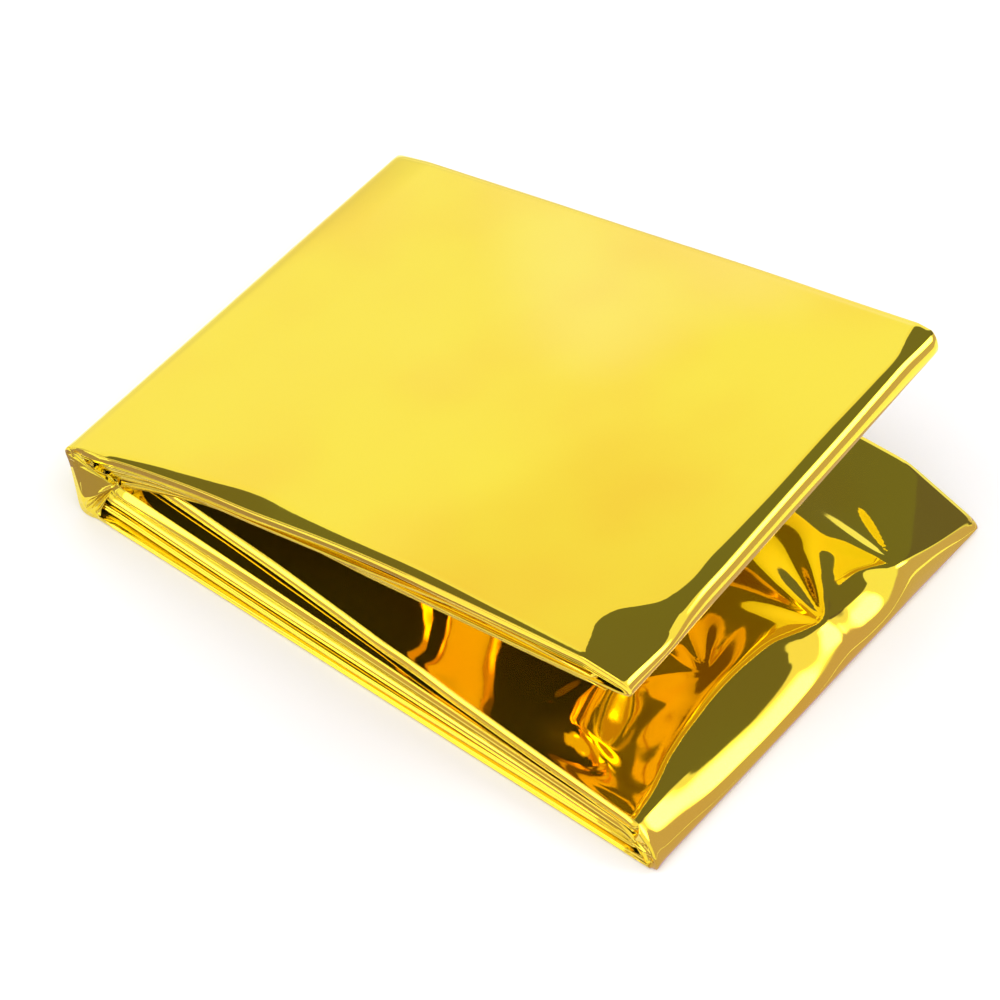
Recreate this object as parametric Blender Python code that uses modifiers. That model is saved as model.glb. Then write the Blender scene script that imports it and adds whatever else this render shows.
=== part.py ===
"""Emergency foil blanket, folded into a small thick pad that stands open like a book.

One strip of metallised film lies back and forth. Each wrap of it runs along the lower flap, round the
spine and along the upper flap, and at the flaps' open ends one wrap rolls over into another. Ten layers
of film lie a little apart: five in the flap on the table and five in the flap that rises from the spine.

Frame: X runs from the spine to the open end, Y along the spine from front to back, Z up. The origin is
under the middle of the blanket, on the table. Sizes below are in metres. Points are worked out from the
spine's front corner on the table, and the finished blanket is then moved onto the origin.
"""

import math
from typing import NamedTuple

import bpy

# The folded blanket
FLAP_LENGTH = 0.131  # the lower flap, a sixteenth of a blanket 2.10 m long
SPINE_LENGTH = 0.0951  # about a sixteenth of its width
UPPER_LENGTH_FRONT = 0.1275
UPPER_LENGTH_BACK = 0.1265
UPPER_RISE_FRONT_DEG = 12.8
UPPER_RISE_BACK_DEG = 16.1

# The film's layers
LAYER_THICKNESS = 0.0010
LAYER_COUNT = 5  # in each flap
LOWER_PITCH = 0.0016  # from one layer to the next
UPPER_PITCH_SPINE = 0.0021
UPPER_PITCH_OPEN = 0.00133
SPINE_SLACK = 0.0004  # from the hinge line to the innermost layer's face

# How far each flap's corners at the open end lie towards the back
LOWER_FRONT_SKEW = -0.0052
LOWER_BACK_SKEW = -0.0034
UPPER_FRONT_SKEW = -0.0025
UPPER_BACK_SKEW = -0.0058

# The hinge line, about which the upper flap is turned up
LAST = LAYER_COUNT - 1
HINGE = LAYER_THICKNESS + LAST * LOWER_PITCH + SPINE_SLACK

# The rolled ends: where the straight layers stop, and how far the film bulges past that
LOWER_ROLL_TOP_FRONT = 0.1270
LOWER_ROLL_TOP_BACK = 0.1256
LOWER_ROLL_BOTTOM = 0.1292
LOWER_ROLL_BULGE = 0.0022
INNER_ROLL_SETBACK = 0.0012
FREE_END_SETBACK = 0.0040

# The soft shape of the flaps
UPPER_DOME = 0.0012
UPPER_FRONT_ARCH = 0.0015  # up, between the spine and the open end
UPPER_FRONT_BOW = 0.0016  # towards the back
LOWER_SWELL = 0.0005

# The lower flap's back corner at the open end is pressed down past a line across the corner
CORNER_LINE_BACK = (0.1030, 0.0930)
CORNER_LINE_OPEN = (0.1280, 0.0690)
CORNER_POINT = (0.1310, 0.0917)
CORNER_PRESS = 0.0042

# Fineness
STATIONS = 14  # strips of film from front to back
SPINE_STEPS = 7
ROLL_STEPS = 6


class Wrap(NamedTuple):
    """A turn of the film round the spine. The last eight values say how far its edges stand back."""

    depth: int  # from the outside: 0 is the lowest layer below and the highest above
    lower_steps: int
    upper_steps: int
    squareness: float  # 2 is a round spine, more is a flatter one with tighter corners
    lower_front_spine: float
    lower_front_open: float
    lower_back_spine: float
    lower_back_open: float
    upper_front_spine: float
    upper_front_open: float
    upper_back_spine: float
    upper_back_open: float


# In the order in which the film passes through them
WRAPS = (
    Wrap(4, 18, 12, 2.0, 0.0074, 0.0009, 0.0010, 0.0000, 0.0034, 0.0010, 0.0012, 0.0010),
    Wrap(0, 6, 12, 8.0, 0.0000, 0.0000, 0.0000, 0.0000, 0.0000, 0.0000, 0.0000, 0.0000),
    Wrap(3, 8, 12, 2.6, 0.0026, 0.0002, 0.0004, 0.0290, 0.0024, 0.0004, 0.0006, 0.0014),
    Wrap(1, 8, 12, 4.4, 0.0004, 0.0010, 0.0012, 0.0290, 0.0006, 0.0012, 0.0010, 0.0004),
    Wrap(2, 8, 12, 3.4, 0.0014, 0.0006, 0.0004, 0.0290, 0.0016, 0.0006, 0.0002, 0.0008),
)


class Crease(NamedTuple):
    """A soft ridge, or a trough where its height is negative, across the lower flap's top layer."""

    start: tuple[float, float]
    end: tuple[float, float]
    width: float
    height: float


CREASES = (
    Crease((0.117, 0.004), (0.1225, 0.030), 0.0045, 0.0007),
    Crease((0.122, 0.036), (0.1245, 0.050), 0.0050, 0.0008),
    Crease((0.098, 0.050), (0.1240, 0.052), 0.0055, -0.0009),
    Crease((0.094, 0.036), (0.1140, 0.031), 0.0055, -0.0008),
    Crease((0.104, 0.078), (0.1250, 0.070), 0.0050, 0.0009),
    Crease((0.096, 0.064), (0.1180, 0.060), 0.0050, 0.0006),
)


class Knot(NamedTuple):
    """A place along the strip. A roll leads from one wrap's layer down to another's."""

    place: str
    wrap: Wrap
    share: float
    next_wrap: Wrap | None = None


def mix(low: float, high: float, share: float) -> float:
    """Blend between two values."""
    return low + (high - low) * share


def clamp(value: float) -> float:
    """Keep a share between 0 and 1."""
    return min(1.0, max(0.0, value))


def crease_height(x: float, y: float) -> float:
    """Sum of the creases at a point of the lower flap."""
    total = 0.0
    for crease in CREASES:
        run_x = crease.end[0] - crease.start[0]
        run_y = crease.end[1] - crease.start[1]
        along = ((x - crease.start[0]) * run_x + (y - crease.start[1]) * run_y) / (run_x**2 + run_y**2)
        near_x = crease.start[0] + clamp(along) * run_x
        near_y = crease.start[1] + clamp(along) * run_y
        away = math.hypot(x - near_x, y - near_y) / crease.width
        total += crease.height * math.exp(-(away**2))
    return total


def past_corner_line(x: float, y: float) -> float:
    """How far past the line across the pressed corner a point lies: 0 on the line, 1 at the corner."""
    run_x = CORNER_LINE_OPEN[0] - CORNER_LINE_BACK[0]
    run_y = CORNER_LINE_OPEN[1] - CORNER_LINE_BACK[1]

    def away(point_x: float, point_y: float) -> float:
        return run_x * (point_y - CORNER_LINE_BACK[1]) - run_y * (point_x - CORNER_LINE_BACK[0])

    return clamp(away(x, y) / away(*CORNER_POINT))


def lower_height(depth: int, x: float, y: float) -> float:
    """Height of a layer's middle in the lower flap. The lowest layer is flat on the table."""
    level = LAYER_THICKNESS / 2 + depth * LOWER_PITCH
    swell = LOWER_SWELL * math.sin(math.pi * clamp(x / FLAP_LENGTH)) * math.sin(math.pi * y / SPINE_LENGTH)
    level += (swell + crease_height(x, y)) * (depth / LAST) ** 1.5
    if depth == LAST:
        level -= CORNER_PRESS * past_corner_line(x, y)
    return level


def upper_radius(depth: int, share: float) -> float:
    """Distance of a layer's middle above the hinge line, a share of the way to the upper flap's open end."""
    pitch = mix(UPPER_PITCH_SPINE, UPPER_PITCH_OPEN, share)
    return SPINE_SLACK + LAYER_THICKNESS / 2 + (LAST - depth) * pitch


def turned(along: float, above: float, turn: float) -> tuple[float, float]:
    """X and Z of a point that is given from the hinge line and turned up about it."""
    cosine, sine = math.cos(turn), math.sin(turn)
    return HINGE + along * cosine - above * sine, HINGE + along * sine + above * cosine


def lower_run(wrap: Wrap, share: float, y: float) -> tuple[float, float]:
    """X and Z on a wrap's straight run in the lower flap."""
    end = mix(LOWER_ROLL_TOP_FRONT, LOWER_ROLL_TOP_BACK, clamp(y / SPINE_LENGTH))
    if wrap.depth == 0:
        end = LOWER_ROLL_BOTTOM
    elif wrap.depth < LAST:
        end -= INNER_ROLL_SETBACK
    x = mix(HINGE, end, share)
    return x, lower_height(wrap.depth, x, y)


def lower_roll(top: Wrap, bottom: Wrap, share: float, y: float) -> tuple[float, float]:
    """X and Z on the lower flap's rolled end, from its upper layer down to its lower one."""
    turn = math.pi * share
    top_x, top_z = lower_run(top, 1.0, y)
    bottom_x, bottom_z = lower_run(bottom, 1.0, y)
    down = (1 - math.cos(turn)) / 2
    bulge = LOWER_ROLL_BULGE if top.depth == LAST else LOWER_ROLL_BULGE / 2
    return mix(top_x, bottom_x, down) + bulge * math.sin(turn), mix(top_z, bottom_z, down)


def spine_turn(wrap: Wrap, share: float, rise: float) -> tuple[float, float]:
    """X and Z on a wrap's way round the spine, from the lower flap to the upper."""
    below = HINGE - LAYER_THICKNESS / 2 - wrap.depth * LOWER_PITCH
    eased = share * share * (3 - 2 * share)
    radius = mix(below, upper_radius(wrap.depth, 0.0), eased)
    angle = math.pi * (1.5 - share)
    power = 2 / wrap.squareness
    across = -abs(math.cos(angle)) ** power * radius
    above = math.copysign(abs(math.sin(angle)) ** power, math.sin(angle)) * radius
    return turned(across, above, rise * eased)


def upper_end(depth: int, y: float) -> float:
    """Where a layer's straight run stops in the upper flap, from the hinge line."""
    length = mix(UPPER_LENGTH_FRONT, UPPER_LENGTH_BACK, clamp(y / SPINE_LENGTH))
    roll = (upper_radius(0, 1.0) - upper_radius(LAST - 1, 1.0) + LAYER_THICKNESS) / 2
    end = length - upper_radius(0, 0.0) - LAYER_THICKNESS / 2 - roll
    return end - FREE_END_SETBACK if depth == LAST else end


def upper_run(wrap: Wrap, share: float, y: float, rise: float) -> tuple[float, float]:
    """X and Z on a wrap's straight run in the upper flap."""
    across = math.sin(math.pi * clamp(y / SPINE_LENGTH))
    dome = UPPER_DOME * math.sin(math.pi * share) ** 2 * across * (1 - wrap.depth / (2 * LAST))
    dome += UPPER_FRONT_ARCH * math.sin(math.pi * share) * (1 - clamp(y / SPINE_LENGTH)) ** 2
    return turned(upper_end(wrap.depth, y) * share, upper_radius(wrap.depth, share) + dome, rise)


def upper_roll(top: Wrap, bottom: Wrap, share: float, y: float, rise: float) -> tuple[float, float]:
    """X and Z on the upper flap's rolled end, from its upper layer down to its lower one."""
    turn = math.pi * share
    high, low = upper_radius(top.depth, 1.0), upper_radius(bottom.depth, 1.0)
    radius = (high - low) / 2
    return turned(upper_end(0, y) + radius * math.sin(turn), (high + low) / 2 + radius * math.cos(turn), rise)


def lower_edges(wrap: Wrap, share: float) -> tuple[float, float]:
    """Y of the front and the back edge of a layer in the lower flap."""
    front = mix(wrap.lower_front_spine, wrap.lower_front_open, share) + LOWER_FRONT_SKEW * share
    cut = mix(wrap.lower_back_spine, wrap.lower_back_open, clamp((share - 0.76) / 0.24))
    return front, SPINE_LENGTH - cut + LOWER_BACK_SKEW * share


def upper_edges(wrap: Wrap, share: float) -> tuple[float, float]:
    """Y of the front and the back edge of a layer in the upper flap."""
    front = mix(wrap.upper_front_spine, wrap.upper_front_open, share) + UPPER_FRONT_SKEW * share
    front += UPPER_FRONT_BOW * math.sin(math.pi * share**0.6)
    back = mix(wrap.upper_back_spine, wrap.upper_back_open, share) - UPPER_BACK_SKEW * share
    return front, SPINE_LENGTH - back


def edges(knot: Knot) -> tuple[float, float]:
    """Y of the film's front and back edge at a knot."""
    if knot.place == "spine":
        pairs = zip(lower_edges(knot.wrap, 0.0), upper_edges(knot.wrap, 0.0))
    elif knot.place == "lower_roll":
        pairs = zip(lower_edges(knot.wrap, 1.0), lower_edges(knot.next_wrap, 1.0))
    elif knot.place == "upper_roll":
        pairs = zip(upper_edges(knot.wrap, 1.0), upper_edges(knot.next_wrap, 1.0))
    else:
        return (lower_edges if knot.place == "lower" else upper_edges)(knot.wrap, knot.share)
    front, back = (mix(first, second, knot.share) for first, second in pairs)
    return front, back


def film_point(knot: Knot, station: float) -> tuple[float, float, float]:
    """The point of the film at a knot, a share of the way from its front edge to its back edge."""
    y = mix(*edges(knot), station)
    rise = math.radians(mix(UPPER_RISE_FRONT_DEG, UPPER_RISE_BACK_DEG, clamp(y / SPINE_LENGTH)))
    if knot.place == "lower":
        x, z = lower_run(knot.wrap, knot.share, y)
    elif knot.place == "lower_roll":
        x, z = lower_roll(knot.wrap, knot.next_wrap, knot.share, y)
    elif knot.place == "spine":
        x, z = spine_turn(knot.wrap, knot.share, rise)
    elif knot.place == "upper":
        x, z = upper_run(knot.wrap, knot.share, y, rise)
    else:
        x, z = upper_roll(knot.wrap, knot.next_wrap, knot.share, y, rise)
    return x, y, z


def wrap_knots(wrap: Wrap) -> list[Knot]:
    """The knots of one wrap, from the lower flap's open end to the upper flap's."""
    lower = [Knot("lower", wrap, step / wrap.lower_steps) for step in range(wrap.lower_steps, 0, -1)]
    spine = [Knot("spine", wrap, step / SPINE_STEPS) for step in range(SPINE_STEPS + 1)]
    upper = [Knot("upper", wrap, step / wrap.upper_steps) for step in range(1, wrap.upper_steps + 1)]
    return lower + spine + upper


def strip_knots() -> list[Knot]:
    """The knots of the whole strip. The first wrap is passed from the upper flap down to the lower."""
    knots = []
    for index, wrap in enumerate(WRAPS):
        downwards = index % 2 == 0
        if index:
            place = "upper_roll" if downwards else "lower_roll"
            knots += [Knot(place, WRAPS[index - 1], step / ROLL_STEPS, wrap) for step in range(1, ROLL_STEPS)]
        knots += wrap_knots(wrap)[::-1] if downwards else wrap_knots(wrap)
    return knots


def gold_film() -> bpy.types.Material:
    """Bright yellow metallised film."""
    material = bpy.data.materials.new("gold_film")
    material.use_nodes = True
    shader = material.node_tree.nodes["Principled BSDF"]
    shader.inputs["Base Color"].default_value = (0.98, 0.76, 0.10, 1.0)
    shader.inputs["Roughness"].default_value = 0.12
    shader.inputs["Metallic"].default_value = 1.0
    return material


def foil_blanket(collection: bpy.types.Collection) -> bpy.types.Object:
    """The folded strip: a flat grid laid along the fold, then given the layers' thickness."""
    knots = strip_knots()
    bpy.ops.mesh.primitive_grid_add(x_subdivisions=len(knots) - 1, y_subdivisions=STATIONS, size=1.0)
    blanket = bpy.context.object
    blanket.name = blanket.data.name = "foil_blanket"
    for index, vertex in enumerate(blanket.data.vertices):
        station, place = divmod(index, len(knots))
        vertex.co = film_point(knots[place], station / STATIONS)
    blanket.data.shade_smooth()
    blanket.data.materials.append(gold_film())
    thickness = blanket.modifiers.new("layer thickness", "SOLIDIFY")
    thickness.thickness = LAYER_THICKNESS
    thickness.offset = 0.0
    thickness.use_even_offset = True
    for holder in list(blanket.users_collection):
        holder.objects.unlink(blanket)
    collection.objects.link(blanket)
    return blanket


def stand_on_origin(blanket: bpy.types.Object) -> None:
    """Put the middle of the blanket's underside on the origin."""
    bpy.context.view_layer.update()
    shape = blanket.evaluated_get(bpy.context.evaluated_depsgraph_get())
    corners = [tuple(corner) for corner in shape.bound_box]
    lowest = [min(corner[axis] for corner in corners) for axis in range(3)]
    highest = [max(corner[axis] for corner in corners) for axis in range(3)]
    blanket.location = (-(lowest[0] + highest[0]) / 2, -(lowest[1] + highest[1]) / 2, -lowest[2])


def main() -> None:
    """Model the blanket in an empty scene."""
    for item in list(bpy.data.objects):
        bpy.data.objects.remove(item, do_unlink=True)
    collection = bpy.data.collections.new("emergency_foil_blanket")
    bpy.context.scene.collection.children.link(collection)
    stand_on_origin(foil_blanket(collection))


main()
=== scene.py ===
"""Emergency foil blanket: gold mirror film, folded into a thick pad that stands open at its spine.

The film is one strip, folded back and forth round the spine and over at the open ends. Each layer of it
stands for a bundle of thinner plies, so its folded edge at the front shows two rounded lips. Lengths of
the film are in millimetres, measured from the spine's front corner on the table, and are turned into
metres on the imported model's origin when the mesh is made.
"""

import logging
import math
from collections.abc import Callable, Sequence
from dataclasses import dataclass, field
from enum import Enum

import bpy
import numpy as np
from mathutils import Matrix, Vector


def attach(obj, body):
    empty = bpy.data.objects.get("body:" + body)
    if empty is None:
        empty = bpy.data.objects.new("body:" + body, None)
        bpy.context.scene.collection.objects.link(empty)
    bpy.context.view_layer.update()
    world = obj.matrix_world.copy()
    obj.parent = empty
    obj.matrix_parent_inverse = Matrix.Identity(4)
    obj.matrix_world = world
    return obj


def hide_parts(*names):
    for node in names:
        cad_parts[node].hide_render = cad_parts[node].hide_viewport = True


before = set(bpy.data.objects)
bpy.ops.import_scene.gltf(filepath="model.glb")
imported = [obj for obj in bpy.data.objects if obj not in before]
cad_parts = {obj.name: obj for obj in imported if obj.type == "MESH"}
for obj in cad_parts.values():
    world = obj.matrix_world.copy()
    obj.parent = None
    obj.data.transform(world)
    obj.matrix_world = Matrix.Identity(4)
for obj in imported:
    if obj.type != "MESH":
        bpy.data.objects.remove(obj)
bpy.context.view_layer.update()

LOG = logging.getLogger("foil_blanket")
METRES = 0.001
TABLE_CORNER = np.array([64.28, 44.95, 0.0])  # from the spine's front corner to the middle, in millimetres


def ease(value: np.ndarray | float) -> np.ndarray:
    """Turn a share into a soft step between 0 and 1."""
    share = np.clip(value, 0.0, 1.0)
    return share * share * (3.0 - 2.0 * share)


def blend(low: np.ndarray | float, high: np.ndarray | float, share: np.ndarray | float) -> np.ndarray:
    """Mix two values by a share."""
    return low + (high - low) * share


def along_table(places: Sequence[float], values: Sequence[float], at: np.ndarray) -> np.ndarray:
    """Read a smooth curve through a short table.

    Args:
        places: rising positions of the rows.
        values: the value at each row.
        at: where to read the curve.

    Returns:
        The values there, on cubic pieces that meet smoothly.
    """
    place, value = np.asarray(places, float), np.asarray(values, float)
    slope = np.gradient(value, place)
    at = np.clip(np.asarray(at, float), place[0], place[-1])
    cell = np.clip(np.searchsorted(place, at, side="right") - 1, 0, len(place) - 2)
    width = place[cell + 1] - place[cell]
    t = (at - place[cell]) / width
    return (
        (2 * t**3 - 3 * t**2 + 1) * value[cell]
        + (t**3 - 2 * t**2 + t) * width * slope[cell]
        + (3 * t**2 - 2 * t**3) * value[cell + 1]
        + (t**3 - t**2) * width * slope[cell + 1]
    )


def read_table(places: Sequence[float], values: Sequence[float], at: float) -> float:
    """Read a short table's smooth curve at one place."""
    return float(along_table(places, values, np.array(at)))


def soft_ramp(value: np.ndarray, softness: float) -> np.ndarray:
    """Follow a value above zero and stay at zero below it, with a rounded bend between."""
    return softness * np.logaddexp(0.0, value / softness)


class Place(Enum):
    """Where on the fold a knot of the strip lies."""

    LOWER = "lower"
    LOWER_ROLL = "lower roll"
    SPINE = "spine"
    UPPER = "upper"
    UPPER_ROLL = "upper roll"


@dataclass(frozen=True)
class Wrap:
    """A turn of the film round the spine.

    The tables give, at five places from the spine to the open end, how far the film's edges stand back and
    how far its folded front edge slants back towards its upper side.
    """

    depth: int  # 0 is the outermost
    squareness: float
    lower_front: tuple[float, ...]
    lower_back: tuple[float, ...]
    upper_front: tuple[float, ...]
    upper_back: tuple[float, ...]
    lower_slant: tuple[float, ...] = (0.3,) * 5
    upper_slant: tuple[float, ...] = (0.3,) * 5
    lower_stops: tuple[tuple[float, int], ...] = ((1.0, 14),)  # (share reached, steps to it)
    upper_stops: tuple[tuple[float, int], ...] = ((1.0, 14),)
    spine_steps: int = 8
    lower_lip: float = 0.45  # how much of the front edge's height its lower fold takes, in the lower flap
    roundness: float = 0.36  # how far the upper fold bulges, in the lower flap
    upper_lip: float = 0.45  # the same share in the upper flap


@dataclass(frozen=True)
class Fan:
    """Creases that spread from one point of the lower flap's top.

    At each angle, in degrees from +X, the film climbs or falls from the point by a slope.
    """

    point: tuple[float, float]
    reach: float
    angles: tuple[float, ...]
    slopes: tuple[float, ...]

    def height(self, x: np.ndarray, y: np.ndarray) -> np.ndarray:
        """Height of the fan.

        Args:
            x: X of places on the flap.
            y: Y of the same places.

        Returns:
            How far each is lifted, in millimetres.
        """
        away_x, away_y = x - self.point[0], y - self.point[1]
        away = np.hypot(away_x, away_y)
        angle = np.degrees(np.arctan2(away_y, away_x)) % 360.0
        slope = along_table(self.angles, self.slopes, angle)
        return slope * away * np.exp(-((away / self.reach) ** 2))


@dataclass(frozen=True)
class Waves:
    """Slight, uneven waves of the lower flap's top.

    Each wave has the way along X and along Y that turns it by a radian, how far its lines bend, in radians,
    and the way of that bend. A fade is the X where it starts and the way that it takes.
    """

    heights: tuple[float, float] = (0.13, 0.09)
    first: tuple[float, float, float, float] = (5.3, 4.3, 1.4, 7.3)
    second: tuple[float, float, float, float] = (3.9, 9.7, 1.5, 11.0)
    fade_in: tuple[float, float] = (12.0, 15.0)
    fade_out: tuple[float, float] = (92.0, 14.0)

    def height(self, x: np.ndarray, y: np.ndarray) -> np.ndarray:
        """Height of the waves.

        Args:
            x: X of places on the flap.
            y: Y of the same places.

        Returns:
            How far each is lifted, in millimetres.
        """
        way_x, way_y, bend, bend_way = self.first
        height = self.heights[0] * np.sin(x / way_x - y / way_y + bend * np.sin(y / bend_way))
        way_x, way_y, bend, bend_way = self.second
        height = height + self.heights[1] * np.sin(x / way_x + y / way_y + bend * np.sin(x / bend_way))
        height = height * ease((x - self.fade_in[0]) / self.fade_in[1])
        return height * ease((self.fade_out[0] - x) / self.fade_out[1])


@dataclass(frozen=True)
class Wrinkle:
    """The crease near the lower flap's front right corner. Each pair is a place and the way that it takes."""

    height: float = 1.5
    climb: tuple[float, float] = (96.0, 6.0)  # along X
    fall: tuple[float, float] = (102.5, 16.0)
    fade_in: tuple[float, float] = (1.0, 6.0)  # along Y
    fade_out: tuple[float, float] = (19.0, 12.0)
    wobble: float = 0.5
    wobble_way: float = 2.1

    def shape(self, x: np.ndarray, y: np.ndarray) -> np.ndarray:
        """Height of the crease.

        Args:
            x: X of places on the flap.
            y: Y of the same places.

        Returns:
            How far each is lifted, in millimetres.
        """
        line = self.climb[0] + self.wobble * np.sin(y / self.wobble_way)
        along = ease((x - line) / self.climb[1]) * (1.0 - ease((x - self.fall[0]) / self.fall[1]))
        across = ease((y - self.fade_in[0]) / self.fade_in[1])
        return self.height * along * across * (1.0 - ease((y - self.fade_out[0]) / self.fade_out[1]))


@dataclass(frozen=True)
class Knot:
    """A place along the strip. A roll leads from one wrap's layer to another's."""

    place: Place
    wrap: Wrap
    share: float
    next_wrap: Wrap | None = None


@dataclass(frozen=True)
class Profile:
    """The film's shape at a knot, seen along the strip."""

    front: float
    back: float
    slant: float  # how far the upper side of the front edge stands back
    tall: float  # half height of the front edge
    crown: float  # height of its upper side
    lip: float  # how much of its height the lower fold takes
    roundness: float  # how far the upper fold bulges
    tuck: float  # 0 for an open edge, 1 for one that is folded inwards over the layers inside
    centre: tuple[float, float] = (0.0, 0.0)  # X and Z that a tucked edge is drawn to
    depth: float = 2.0  # how far back it is drawn


@dataclass(frozen=True)
class FlapSizes:
    """Sizes of the folded pad, in millimetres."""

    lower_end: float = 129.2
    spine_length: float = 95.1
    upper_front: float = 127.5
    upper_back: float = 128.6
    rise_front: float = 12.8
    rise_back: float = 16.1
    layer: float = 1.0
    lower_pitch: float = 1.6
    upper_pitch_spine: float = 2.1
    upper_pitch_open: float = 1.33
    spine_slack: float = 0.4
    lower_skew_front: float = -5.2
    lower_skew_back: float = -3.4
    upper_skew_front: float = -2.5
    upper_skew_back: float = -5.8
    last: int = 4
    lowest_middle: float = 0.75  # height of the lowest layer's middle
    settled: float = 0.03  # how much closer than their pitch the lower layers lie
    lower_tall: float = 0.41  # half height of a folded front edge, as a share of the pitch
    upper_tall: float = 0.42
    upper_roundness: float = 0.15
    edge_rows_lower: tuple[float, ...] = (0.0, 0.25, 0.5, 0.76, 1.0)
    edge_rows_upper: tuple[float, ...] = (0.0, 0.25, 0.5, 0.75, 1.0)

    @property
    def hinge(self) -> float:
        """Height of the hinge line, about which the upper flap is turned up."""
        return self.layer + self.last * self.lower_pitch + self.spine_slack

    def lower_level(self, depth: int) -> float:
        """Height of a flat layer's middle in the lower flap."""
        return self.lowest_middle + depth * (self.lower_pitch - self.settled)


@dataclass
class FoilBlanket:
    """The folded film: its path, its creases and its mesh."""

    sizes: FlapSizes = field(default_factory=FlapSizes)
    layer: float = 0.92
    stations: int = 142
    hidden_stations: int = 26
    name: str = "gold_film_pad"
    # Along Y: where the lower flap's top starts to fall towards its rolled end, and the ridge it falls to
    fall_rows: tuple[float, ...] = (
        -8.0, -3.0, 4.0, 12.0, 21.0, 31.0, 42.0, 52.0, 58.0, 65.0, 70.5, 76.0, 96.0,
    )
    fall_start: tuple[float, ...] = (
        124.9, 124.2, 123.0, 120.6, 119.2, 118.5, 119.8, 124.0, 121.6, 121.8, 126.6, 128.0, 128.5,
    )
    ridge_line: tuple[float, ...] = (
        125.4, 125.2, 124.9, 124.4, 123.9, 123.7, 123.7, 124.4, 124.7, 125.4, 127.0, 128.0, 129.4,
    )
    fall_slope: float = 0.36
    fall_softness: float = 0.45
    # The lower flap's slight swell: its height in the middle, and the length and width that it spans
    swell: float = 0.5
    swell_length: float = 131.0
    swell_width: float = 95.0
    # Where the lower flap's inner layers stop: before the fall, one by one, and never past a limit
    inner_setback: float = 2.5
    inner_step: float = 3.0
    inner_limit: float = 125.0
    # Along Y: where the upper flap's top starts to fall towards its rolled end, and how steeply
    droop_rows: tuple[float, ...] = (
        -4.0, 0.4, 3.3, 6.0, 8.0, 9.6, 11.4, 14.0, 18.0, 28.0, 43.0, 60.0, 74.0, 80.0, 86.0, 92.0,
    )
    droop_start: tuple[float, ...] = (
        110.0, 108.6, 107.6, 106.6, 106.9, 107.8, 110.0, 113.0,
        114.8, 115.3, 116.0, 116.2, 116.7, 116.8, 115.3, 114.6,
    )
    droop_slope: tuple[float, ...] = (
        0.17, 0.17, 0.18, 0.18, 0.20, 0.22, 0.26, 0.30, 0.30, 0.30, 0.30, 0.30, 0.30, 0.30, 0.26, 0.24,
    )
    # Along the upper flap: how wide the bent-down band along its front edge is
    hang_rows: tuple[float, ...] = (
        0.0, 0.06, 0.12, 0.17, 0.22, 0.27, 0.31, 0.36, 0.43, 0.52, 0.62, 0.80, 1.0,
    )
    hang_widths: tuple[float, ...] = (1.5, 2.0, 2.6, 2.9, 3.4, 4.0, 4.1, 3.6, 2.9, 2.4, 2.3, 1.8, 1.4)
    hang_slope: float = 0.40
    hang_softness: float = 0.3
    droop_softness: float = 0.16
    # Lifts and waves of the upper flap, at their most
    dome: float = 1.2
    front_arch: float = 1.5
    front_bow: float = 1.6  # how far the front edge bows inwards
    under_wave: float = 1.1
    top_wave: float = 0.15
    fans: tuple[Fan, ...] = (
        Fan((125.1, 51.9), 17.0,
            (95.0, 117.0, 133.0, 149.0, 168.0, 190.0, 212.0, 245.0),
            (0.0, -0.030, 0.035, -0.030, 0.040, -0.020, 0.025, 0.0)),
        Fan((126.9, 70.4), 19.0,
            (118.0, 133.0, 141.0, 156.0, 164.0, 178.0, 205.0, 228.0),
            (0.0, 0.005, 0.025, -0.035, -0.020, 0.055, 0.020, 0.0)),
        Fan((115.0, 30.2), 12.0,
            (95.0, 120.0, 140.0, 160.0, 185.0, 222.0, 245.0, 268.0),
            (0.0, 0.040, -0.020, 0.030, -0.025, 0.015, -0.025, 0.0)),
    )
    # The back corner of the lower flap's top is pressed down past a line between two points
    corner_line: tuple[tuple[float, float], tuple[float, float]] = ((114.6, 92.4), (127.4, 70.4))
    corner_slope: float = 0.43
    corner_softness: float = 0.7
    waves: Waves = field(default_factory=Waves)
    wrinkle: Wrinkle = field(default_factory=Wrinkle)
    # The lower flap's rolled end, from its ridge to the table: share of the way out, and down
    roll_shares: tuple[float, ...] = (0.0, 0.2, 0.4, 0.6, 0.75, 0.87, 1.0)
    roll_out: tuple[float, ...] = (0.0, 0.32, 0.60, 0.83, 0.95, 1.0, 0.95)
    roll_down: tuple[float, ...] = (0.0, 0.18, 0.38, 0.60, 0.78, 0.90, 1.0)
    roll_end: float = 130.2
    roll_tail: float = 0.87  # share at which it starts to turn in under the flap
    # The upper flap's rolled end, from its upper layer to its lower one: past the layers' end, and down
    nose_shares: tuple[float, ...] = (0.0, 0.12, 0.26, 0.42, 0.60, 0.78, 0.90, 1.0)
    nose_reach: tuple[float, ...] = (0.0, 0.42, 0.82, 1.08, 1.20, 0.95, 0.20, -1.2)
    nose_drop: tuple[float, ...] = (0.0, 0.10, 0.26, 0.45, 0.68, 0.88, 0.98, 1.0)
    nose_tail: float = 0.8
    # How far the inner rolls bulge, in the lower and the upper flap, and the steps along each roll
    lower_bulge: float = 1.1
    upper_bulge: float = 0.66
    roll_steps: tuple[int, ...] = (0, 24, 26, 8, 8)
    upper_ends: tuple[float, ...] = (1.4, -5.0, -5.0, 0.0, -3.0)  # how far each layer reaches past its run
    # The walls that are drawn in at the spine and at the rolled end: X and Z that they go to, and how deep
    spine_tuck: tuple[float, float] = (6.6, 8.6)
    spine_tuck_depth: float = 2.8
    roll_tuck: tuple[float, float] = (124.5, 3.4)
    roll_tuck_depth: float = 1.0
    tuck_ends: float = 0.12  # share of the way in which a wall opens and closes
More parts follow.
